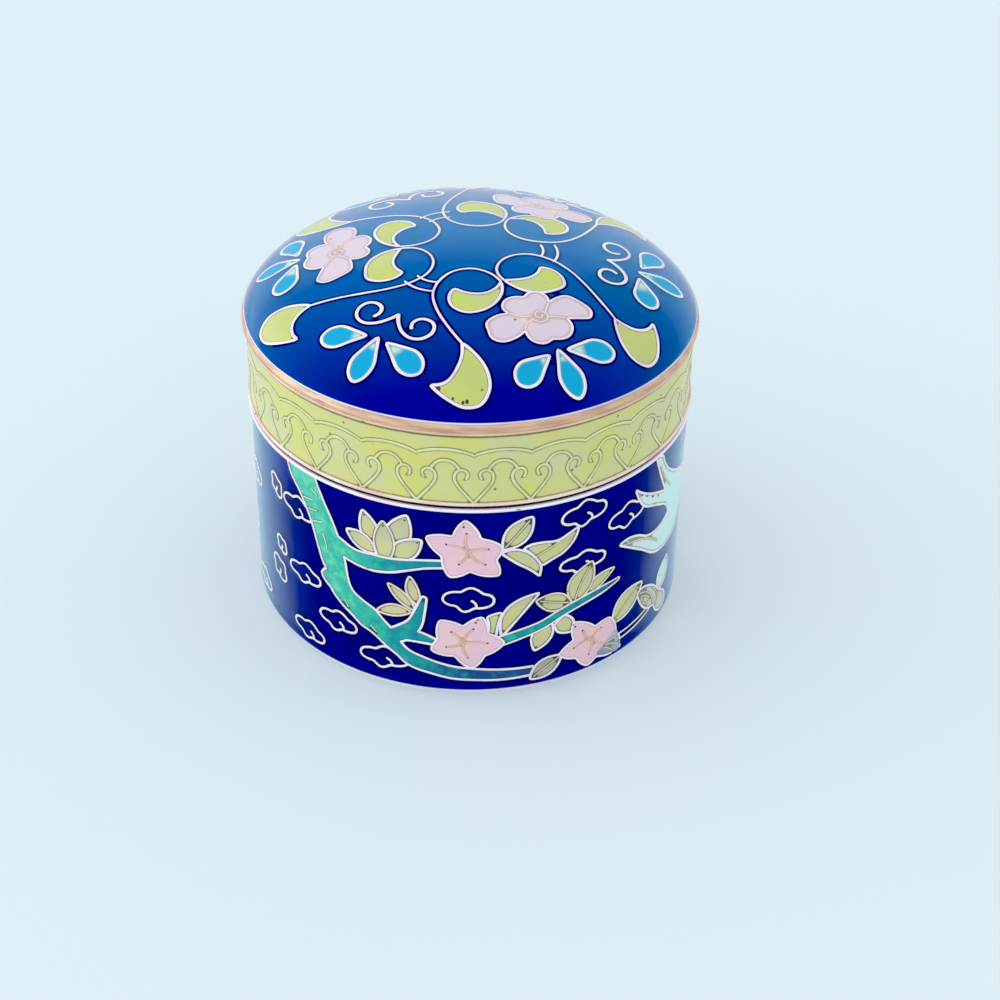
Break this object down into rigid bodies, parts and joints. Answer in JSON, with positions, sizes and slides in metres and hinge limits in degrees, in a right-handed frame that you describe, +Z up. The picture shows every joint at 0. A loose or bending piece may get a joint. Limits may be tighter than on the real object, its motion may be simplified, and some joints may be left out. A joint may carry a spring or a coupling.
{
  "type": "cloisonne enamel box",
  "caption": "Round trinket box in blue cloisonne enamel on copper, hollow, with a domed lid that lifts off a gilt collar.",
  "frame": {"origin": "centre of the foot ring's underside, on the surface that the box stands on", "axes": "+Z up along the axis of the turned pieces; -Y is the front, the side with the blossom branch; +X is the viewer's right"},
  "size_m": [0.0766, 0.0766, 0.066],
  "materials": {
    "cobalt_enamel": "polished vitreous enamel with blossom, leaf, cloud and scroll cells between gilt wires",
    "yellow_green_enamel": "polished vitreous enamel with heart-scroll wires",
    "gilt_edge": "polished gilding, a little worn",
    "copper_bead": "satin copper with worn gilding"
  },
  "bodies": {
    "root": {"box_body": "cobalt_enamel", "foot_ring": "gilt_edge", "body_rim": "gilt_edge", "inner_collar": "gilt_edge", "lid_rim": "gilt_edge", "lid_band": "yellow_green_enamel", "shoulder_ring": "copper_bead", "lid_dome": "cobalt_enamel"}
  },
  "joints": []
}
